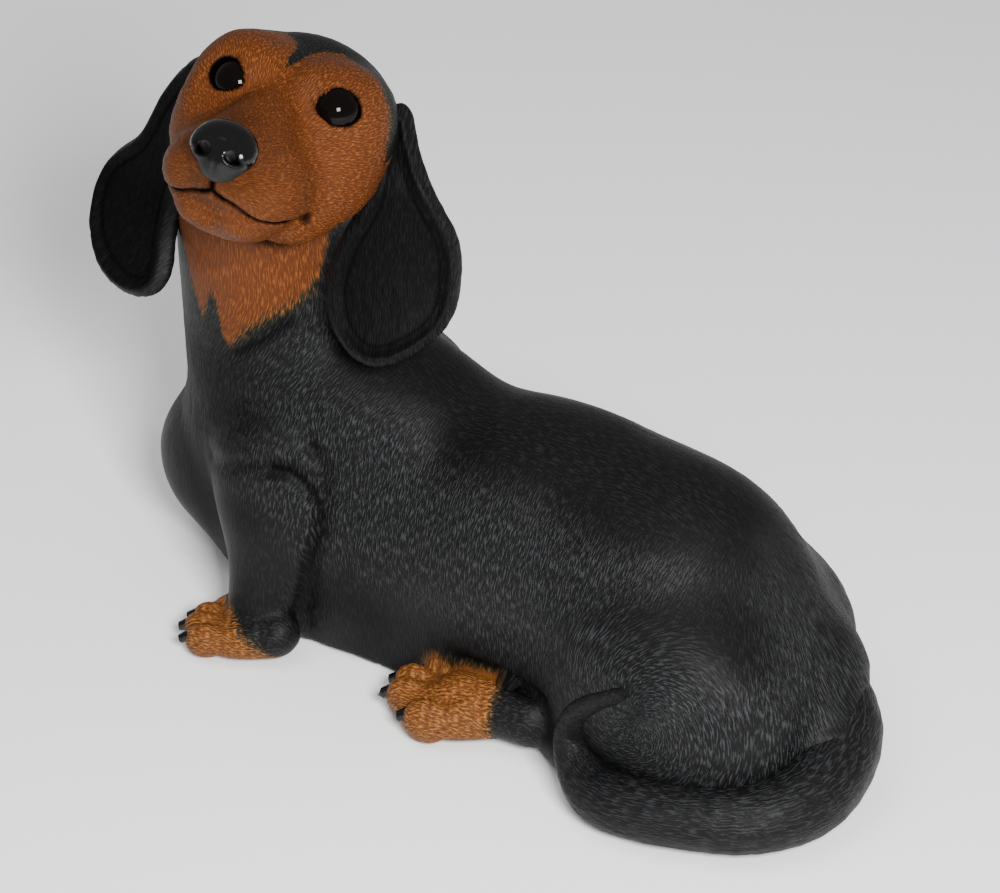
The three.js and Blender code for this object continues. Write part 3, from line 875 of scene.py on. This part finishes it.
def leaf(p, ear):
    """Distance to an ear's surface: a thick rolled rim, a thinner middle and a heavy root."""
    top, axes, length = ear_axes(ear)
    a, b, c = ((p - top) @ axes.T).T
    c = c - ear_sweep(a, b, length, ear)
    rim = within(a, b, ear["run"])
    half = EAR_HALF - 1.2 + 2.0 * np.exp(-((rim + 3.0) / 2.0) ** 2) + 1.2 * np.exp(-((a + 8) / 14) ** 2)
    inset = rim + half
    return np.where(inset > 0, np.hypot(np.maximum(inset, 0), c) - half, np.abs(c) - half)


for name, ear in EARS.items():
    top, axes, length = ear_axes(ear)
    ear["run"] = smooth_run(ear["outline"], 3, closed=True)
    centre = np.array(LEAF_CENTRE)
    around = np.arctan2(*(ear["run"] - centre).T[::-1])
    order = np.argsort(around)
    far = lengths(ear["run"] - centre)[order]
    bm = bmesh.new()
    for v in bmesh.ops.create_icosphere(bm, subdivisions=5, radius=1)["verts"]:
        flat = math.hypot(v.co.x, v.co.y)
        reach = np.interp(math.atan2(v.co.y, v.co.x), around[order], far, period=2 * math.pi)
        a, b = centre + np.array([v.co.x, v.co.y]) / max(flat, 1e-9) * reach * flat
        v.co = top + np.array([a, b, ear_sweep(a, b, length, ear) + v.co.z * EAR_HALF]) @ axes
    piece = new_object(name + "_leaf", bm)
    surface = lambda p, ear=ear: leaf(p, ear)
    for size in (1.7, 1.7):
        weld(piece, surface, size, rounds=5, reach=2)
    p = refine(piece, surface, 1, 2)
    n = slopes(surface, p)
    q = (p - top) @ axes.T
    flow = np.stack([q[:, 1] * (1 + 0.004 * q[:, 0]), q[:, 0] + 0.01 * q[:, 1] ** 2], axis=1)
    none = np.zeros(len(p))
    coat = (flow, flow, flow, none, none)
    rim = within(q[:, 0], q[:, 1], ear["run"])
    # painted shade: the dark line inside the rim and a darker middle of the ear, stored with the dark paint
    # lines
    line = 0.9 * np.exp(-((rim + RIM_SHADE_INSET) / RIM_SHADE_HALF) ** 2)
    comb_skin(piece, p, n, combed(coat, 0.14, 0.10, (1.4, 6), (3.0, 11)), coat, comb=none + 0.35,
              tan_inside=none + FULLY_BLACK, liner=np.maximum(line, 0.7 * smooth_step(-rim, 1, 4)))
    skins[name] = piece
    print(piece.name, len(piece.data.vertices), "points")

# %% [markdown]
# ## Tail
# The tail is a coil rolled to a taper and laid round the haunch. It sinks into the rump at its thick end.

# %% Roll the tail
TAIL = [(108, 8, 33), (130, -4, 22), (136.5, -27, 14), (127, -49, 12), (105, -61.5, 11),
        (86, -68, 11), (74, -68, 12), (65, -64.5, 17), (60.5, -61.5, 25), (62.5, -60.5, 34),
        (71, -61.5, 43.5), (82, -62.5, 52)]
TAIL_RADII = [18, 17, 14.5, 12, 11, 10, 8.5, 6.2, 4.8, 4.0, 3.2, 2.2]
TAIL_RUN = smooth_run(TAIL)
TAIL_WIDTHS = np.interp(np.linspace(0, 1, len(TAIL_RUN)), np.linspace(0, 1, len(TAIL_RADII)), TAIL_RADII)
TAIL_ROLLS = list(zip(TAIL_RUN[:-1], TAIL_RUN[1:], TAIL_WIDTHS[:-1], TAIL_WIDTHS[1:]))


def coil(p):
    return -press(-modelled(p, [(roll, sizes, 1.5) for sizes in TAIL_ROLLS]), p[:, 2], 1.0)


def along_tail(p):
    """(across, along) numbers of points on the tail, in millimetres."""
    nearest = np.argmin([lengths(p - a) for a in TAIL_RUN], axis=0)
    steps = lengths(np.diff(TAIL_RUN, axis=0))
    start = np.concatenate([[0], np.cumsum(steps)])
    way = np.gradient(TAIL_RUN, axis=0)
    way /= lengths(way)[:, None]
    off = p - TAIL_RUN[nearest]
    along = start[nearest] + (off * way[nearest]).sum(axis=1)
    side = np.cross(way[nearest], [0, 0, 1])
    across = np.arctan2(np.abs((off * side).sum(axis=1)), off[:, 2]) * 11
    return np.stack([across, along], axis=1)


bm = bmesh.new()
for a, b, ra, rb in TAIL_ROLLS:
    block(bm, roll, (a, b, ra, rb))
tail = new_object("tail_coil", bm)
weld(tail, coil, 1.9)
p = refine(tail, coil, 1, 3)
n = slopes(coil, p)
flow = along_tail(p)
none = np.zeros(len(p))
coat = (flow, flow, flow, none, none)
comb_skin(tail, p, n, combed(coat) * smooth_step(p[:, 2], 0.5, 3), coat, comb=none + 0.5,
          tan_inside=none + FULLY_BLACK, liner=none)
skins["tail"] = tail
print(tail.name, len(tail.data.vertices), "points")

# %% [markdown]
# ## Nose, eyes and claws
# The nose is a button with two nostrils pressed in and a line below; it is glazed glossy. The eyes are balls
# of black glass. The claws are small tapering rolls of clay with the same gloss as the nose.

# %% Nose, eyes and claws
def nose_button(q):
    """Distance to the nose: a broad upper pad, a narrower shield below, two nostrils and a middle line."""
    m = folded(q - NOSE)
    d = press(egg(m, (0, 0, 2), (8, 10.8, 8)), egg(m, (0.3, 0, -4.5), (7.6, 7.4, 6.5)), 4)
    d = press(d, egg(m, (2.5, 6.4, 0.5), (5.5, 4.8, 4.4)), 2.5)
    d = carve(d, egg(m, (11.0, 0, 4.2), (4.6, 7.5, 2.9)), 2.2)
    d = carve(d, egg(m, (9.0, 4.7, 0.6), (5.0, 2.2, 2.1)), 0.9)
    d = carve(d, roll(m, (8.8, 5.2, -0.4), (5.6, 10.4, -2.6), 1.7, 1.0), 0.8)
    return groove(m, d, NOSE_LINE, 0.9, 0.7)


NOSE_LINE = [(9, 0, 0.5), (8.4, 0, -5), (6, 0, -11)]
nose = ball("nose_button", NOSE, 11, 5)
for size in (0.75, 0.6):
    weld(nose, nose_button, size, rounds=6, reach=2)
q = refine(nose, nose_button, 1, 2)
m = folded(q - NOSE)
nostril = np.exp(-(lengths((m - (6.5, 6.2, -0.4)) / (4.2, 3.4, 2.6))) ** 4)
set_points(nose.data, on_head(q))
keep_numbers(nose.data, "matt", smooth_step(-m[:, 2], 1.5, 4.0))
keep_numbers(nose.data, "nostril_shade", nostril)
shade_smooth(nose.data)
skins["nose"] = nose
print(nose.name, len(nose.data.vertices), "points")

for name, centre in EYES.items():
    bm = bmesh.new()
    bmesh.ops.create_uvsphere(bm, u_segments=64, v_segments=40, radius=EYE_RADIUS)
    bmesh.ops.translate(bm, vec=Vector(on_head(centre)), verts=bm.verts)
    skins[name] = new_object(name + "_glass", bm)
    shade_smooth(skins[name].data)

for corner, shape in PAWS.items():
    heel, axes, length = paw_axes(shape)
    w, h, s = shape["width"], shape["height"], shape["scale"]
    for i, (across, back) in enumerate(shape["toes"]):
        reach = length - back
        root = np.array([reach - 3.5 * s, across * w, h * 0.54])
        tip = np.array([reach + 2.8 * s, across * w * 1.06, h * 0.34])
        claw = ball(f"{corner}_claw_{i + 1}_tip", (root + tip) / 2, 3, 4)
        q = onto(lambda q: roll(q, root, tip, 2.7 * s, 2.0 * s), mesh_points(claw.data), rounds=5)
        set_points(claw.data, heel + q @ axes)
        shade_smooth(claw.data)
        skins[f"{corner}_claw_{i + 1}"] = claw
print("skins:", len(skins))

# %% Bring every skin to the frame
for node, piece in skins.items():
    to_frame(piece)
    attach(piece, "root")
    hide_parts(node)

# %% [markdown]
# ## Finishes
# The coat is fired clay under a satin finish: black rubbed back to grey on the ridges of the strokes, and a
# tan stain that stays dark in the hollows. One finish carries both, because the brush edge crosses the
# strokes.

# %% Colours and a node helper
def linear(hex_colour):
    """An sRGB hex colour as linear red, green, blue and alpha."""
    channels = [int(hex_colour[i:i + 2], 16) / 255 for i in (1, 3, 5)]
    return [c / 12.92 if c <= 0.04045 else ((c + 0.055) / 1.055) ** 2.4 for c in channels] + [1.0]


def add(nodes, kind, inputs=None, **settings):
    """Adds a shader node, sets its properties, then sets or links its inputs."""
    node = nodes.new(kind)
    for key, value in settings.items():
        setattr(node, key, value)
    for key, value in (inputs or {}).items():
        if isinstance(value, bpy.types.NodeSocket):
            nodes.id_data.links.new(value, node.inputs[key])
        else:
            node.inputs[key].default_value = value
    return node


def finish(name):
    """A new material and its Principled shader."""
    material = bpy.data.materials.new(name)
    material.use_nodes = True
    return material, material.node_tree.nodes, material.node_tree.nodes["Principled BSDF"]


# %% Strokes drawn in the coat's own numbers
def math_node(nodes, operation, *values):
    return add(nodes, "ShaderNodeMath", dict(enumerate(values)), operation=operation).outputs[0]


def vector_node(nodes, operation, *values):
    return add(nodes, "ShaderNodeVectorMath", dict(enumerate(values)), operation=operation).outputs[0]


def kept(nodes, name):
    """A number kept on the skin's points."""
    return add(nodes, "ShaderNodeAttribute", attribute_name=name).outputs["Fac"]


def colours(nodes, share, a, b):
    """Mixes colour a into colour b by a share from 0 to 1."""
    return add(nodes, "ShaderNodeMix", {"Factor": share, "A": a, "B": b}, data_type="RGBA").outputs["Result"]


def ramp(nodes, value, low=0.0, high=1.0, to_low=0.0, to_high=1.0, **settings):
    """Brings a value's range from low..high to to_low..to_high."""
    return add(nodes, "ShaderNodeMapRange", {"Value": value, 1: low, 2: high, 3: to_low, 4: to_high},
               clamp=True, **settings).outputs[0]


def wire(nodes, shader, **sockets):
    """Links outputs to a shader's sockets, named with underscores for spaces."""
    for name, output in sockets.items():
        nodes.id_data.links.new(output, shader.inputs[name.replace("_", " ")])


def stroke_height(nodes, coat_name, across_mm, along_mm, seed):
    """Height, 0 to 1, of combed strokes across_mm wide and along_mm long, in one pair of coat numbers."""
    numbers = add(nodes, "ShaderNodeAttribute", attribute_name=coat_name).outputs["Vector"]
    wander = add(nodes, "ShaderNodeTexNoise", {"Vector": numbers, "Scale": 0.12, "Detail": 1.0})
    bent = vector_node(nodes, "MULTIPLY", wander.outputs["Color"], (1.4, 0.0, 0.0))
    moved = vector_node(nodes, "ADD", numbers, bent)
    sized = vector_node(nodes, "MULTIPLY", moved, (1 / across_mm, 1 / along_mm, 1))
    placed = vector_node(nodes, "ADD", sized, (seed * 7.3, seed * 3.1, 0))
    return add(nodes, "ShaderNodeTexNoise", {"Vector": placed, "Scale": 1.0, "Detail": 2.0, "Roughness": 0.5},
               noise_dimensions="2D").outputs["Fac"]


def shared(nodes, first, second, third):
    """Mixes three stroke layers by the shares kept on the skin."""
    for share, layer in (("coat_2_share", second), ("coat_3_share", third)):
        mix = {"Factor": kept(nodes, share), "A": first, "B": layer}
        first = add(nodes, "ShaderNodeMix", mix).outputs["Result"]
    return first


def coat_finish(name, across_mm, along_mm):
    """Painted and satin-glazed combed clay."""
    material, nodes, shader = finish(name)
    strokes = shared(nodes, *(stroke_height(nodes, f"coat_{i}", across_mm, along_mm, i) for i in (1, 2, 3)))
    crest = ramp(nodes, strokes, 0.47, 0.70, interpolation_type="SMOOTHSTEP")
    comb = kept(nodes, "comb")
    ridge = math_node(nodes, "MULTIPLY", crest, comb)
    place = add(nodes, "ShaderNodeTexCoord").outputs["Object"]
    height = add(nodes, "ShaderNodeSeparateXYZ", {0: place}).outputs["Z"]
    cloud = add(nodes, "ShaderNodeTexNoise", {"Vector": place, "Scale": 28.0, "Detail": 3.0}).outputs["Fac"]
    black = colours(nodes, ridge, linear("#0B0B0C"), linear("#2E2F30"))
    above = ramp(nodes, height, 0.03, 0.06)           # the paws' tan is yellower than the face's
    deep = colours(nodes, above, linear("#5A3212"), linear("#4D260E"))
    worn = colours(nodes, above, linear("#8A5A2C"), linear("#77431C"))
    tan = colours(nodes, ridge, deep, worn)
    feather = math_node(nodes, "MULTIPLY_ADD", strokes, 10.0, -5.0)
    edge = math_node(nodes, "ADD", kept(nodes, "tan_inside"), feather)
    smeared = colours(nodes, ramp(nodes, edge, -2.2, -0.2), black, linear("#2A2414"))
    coat = colours(nodes, ramp(nodes, edge, -0.4, 1.6), smeared, tan)
    # dark paint lines and painted shade, mixed towards near black and taking the sheen off
    inked_and_shaded = kept(nodes, "liner")
    relief_height = math_node(nodes, "MULTIPLY", strokes, comb)
    bump = add(nodes, "ShaderNodeBump", {"Height": relief_height, "Strength": 1.0, "Distance": 0.0007})
    wire(nodes, shader, Base_Color=colours(nodes, inked_and_shaded, coat, linear("#060505")),
         Roughness=ramp(nodes, cloud, 0.3, 0.7, 0.42, 0.58),
         Specular_IOR_Level=ramp(nodes, inked_and_shaded, to_low=0.12, to_high=0.0), Normal=bump.outputs[0])
    return material


def dress(piece, material):
    piece.data.materials.clear()
    piece.data.materials.append(material)


long_coat = coat_finish("combed_satin_coat", 0.55, 3.8)
short_coat = coat_finish("combed_satin_face", 0.36, 1.9)
for node, piece in skins.items():
    if node == "head_casting" or node.endswith("_paw"):
        dress(piece, short_coat)
    elif node in ("body_casting", "tail", "left_ear", "right_ear"):
        dress(piece, long_coat)

gloss, nodes, shader = finish("gloss_black_glaze")        # thick glaze, dull in the nostrils, which are darkened with painted shade
nostril_shade = kept(nodes, "nostril_shade")
place = add(nodes, "ShaderNodeTexCoord").outputs["Object"]
pebble = add(nodes, "ShaderNodeTexVoronoi", {"Vector": place, "Scale": 900.0}).outputs["Distance"]
bump = add(nodes, "ShaderNodeBump", {"Height": pebble, "Strength": 0.25, "Distance": 0.0003})
# painted shade: the base colour goes darker inside the nostrils
wire(nodes, shader, Base_Color=colours(nodes, nostril_shade, linear("#090909"), linear("#010101")),
     Roughness=ramp(nodes, math_node(nodes, "MAXIMUM", kept(nodes, "matt"), nostril_shade), to_low=0.1, to_high=0.6),
     Specular_IOR_Level=ramp(nodes, nostril_shade, to_low=0.3, to_high=0.0), Normal=bump.outputs[0])

glass, nodes, shader = finish("black_eye_glass")          # near black with a breath of brown
shader.inputs["Roughness"].default_value = 0.03
shader.inputs["IOR"].default_value = 1.5
shader.inputs["Specular IOR Level"].default_value = 0.1
place = add(nodes, "ShaderNodeTexCoord").outputs["Object"]
depth = add(nodes, "ShaderNodeTexNoise", {"Vector": place, "Scale": 120.0}).outputs["Fac"]
wire(nodes, shader, Base_Color=colours(nodes, depth, linear("#040303"), linear("#0B0705")))

felt, nodes, shader = finish("pressed_wool_felt")         # dark green pads that keep the clay off the table
place = add(nodes, "ShaderNodeTexCoord").outputs["Object"]
fibre = add(nodes, "ShaderNodeTexNoise", {"Vector": place, "Scale": 1500.0, "Detail": 4.0}).outputs["Fac"]
shader.inputs["Roughness"].default_value = 0.95
bump = add(nodes, "ShaderNodeBump", {"Height": fibre, "Strength": 0.6, "Distance": 0.0003})
wire(nodes, shader, Base_Color=colours(nodes, fibre, linear("#1C2A20"), linear("#35483A")),
     Normal=bump.outputs[0])

for node, piece in skins.items():
    if node == "nose" or "_claw_" in node:
        dress(piece, gloss)
    elif node.endswith("_eye"):
        dress(piece, glass)
for node, solid in frame["nodes"].items():
    if node.endswith("_pad"):
        for place in solid.material_slots:
            place.material = felt
        if not solid.material_slots:
            solid.data.materials.append(felt)

# %% [markdown]
# ## Table, light and camera
# A plain pale table, a small bright lamp over the camera's shoulder, a broad weaker one high up that does not
# mirror in the gloss, and an even surround. The camera looks down at the dog from its left front quarter with
# a long lens.

# %% Table
bm = bmesh.new()
bmesh.ops.create_grid(bm, x_segments=1, y_segments=1, size=4)
floor = new_object("table_top", bm)
pale, nodes, shader = finish("pale_table")
shader.inputs["Base Color"].default_value = linear("#FAFAFA")
shader.inputs["Roughness"].default_value = 0.9
dress(floor, pale)

# %% Camera
AZIMUTH, ELEVATION, DISTANCE, LENS = math.radians(35), math.radians(33), 1.3, 135.72
target = (Vector((0, -16, 95)) + Vector(SHIFT)) / 1000
behind = Vector((math.sin(AZIMUTH) * math.cos(ELEVATION), -math.cos(AZIMUTH) * math.cos(ELEVATION),
                 math.sin(ELEVATION)))
camera = bpy.data.objects.new("camera", bpy.data.cameras.new("camera"))
camera.data.lens = LENS
camera.data.sensor_width = 36
camera.location = target + behind * DISTANCE
camera.rotation_euler = behind.to_track_quat("Z", "Y").to_euler()
bpy.context.scene.collection.objects.link(camera)
bpy.context.scene.camera = camera


# %% Lights
def soft_light(name, size, power, place, aim=target, mirrored=True):
    lamp = bpy.data.objects.new(name, bpy.data.lights.new(name, "AREA"))
    lamp.data.size = size
    lamp.data.energy = power
    lamp.location = place
    lamp.rotation_euler = (Vector(place) - aim).to_track_quat("Z", "Y").to_euler()
    lamp.visible_glossy = mirrored
    bpy.context.scene.collection.objects.link(lamp)


side_way = Vector((math.cos(AZIMUTH), math.sin(AZIMUTH), 0))
soft_light("key", 0.3, 30, target + behind * 1.1 + side_way * 0.2 + Vector((0, 0, 0.06)))
soft_light("high", 1.2, 14, target + behind * 0.3 - side_way * 0.5 + Vector((0, 0, 1.5)), mirrored=False)
world = bpy.data.worlds.new("studio")
world.use_nodes = True
world.node_tree.nodes["Background"].inputs["Color"].default_value = linear("#FFFFFF")
world.node_tree.nodes["Background"].inputs["Strength"].default_value = 0.35
bpy.context.scene.world = world
